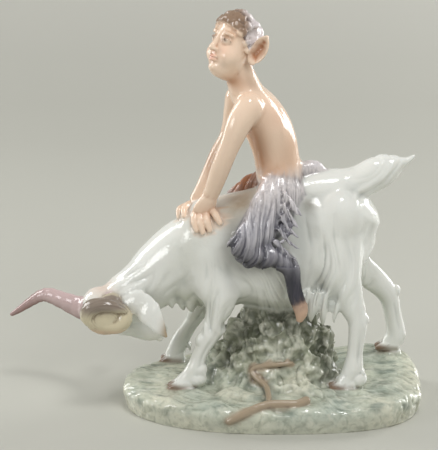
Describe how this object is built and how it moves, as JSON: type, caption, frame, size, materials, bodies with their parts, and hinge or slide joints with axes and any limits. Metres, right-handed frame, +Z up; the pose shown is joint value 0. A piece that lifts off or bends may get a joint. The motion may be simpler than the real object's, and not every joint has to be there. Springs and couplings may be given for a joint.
{
  "type": "faun statue",
  "caption": "Glazed porcelain figure of a young faun riding a butting goat, cast in one with its oval rocky base.",
  "frame": {"origin": "centre of the base's flat underside", "axes": "+Z up; -X is the way the goat faces; -Y is the goat's and the rider's left side"},
  "size_m": [0.212, 0.0951, 0.2037],
  "materials": {
    "glazed_porcelain": "high gloss glaze over soft airbrushed colours"
  },
  "bodies": {
    "root": {"faun_on_goat": "glazed_porcelain"}
  },
  "joints": []
}
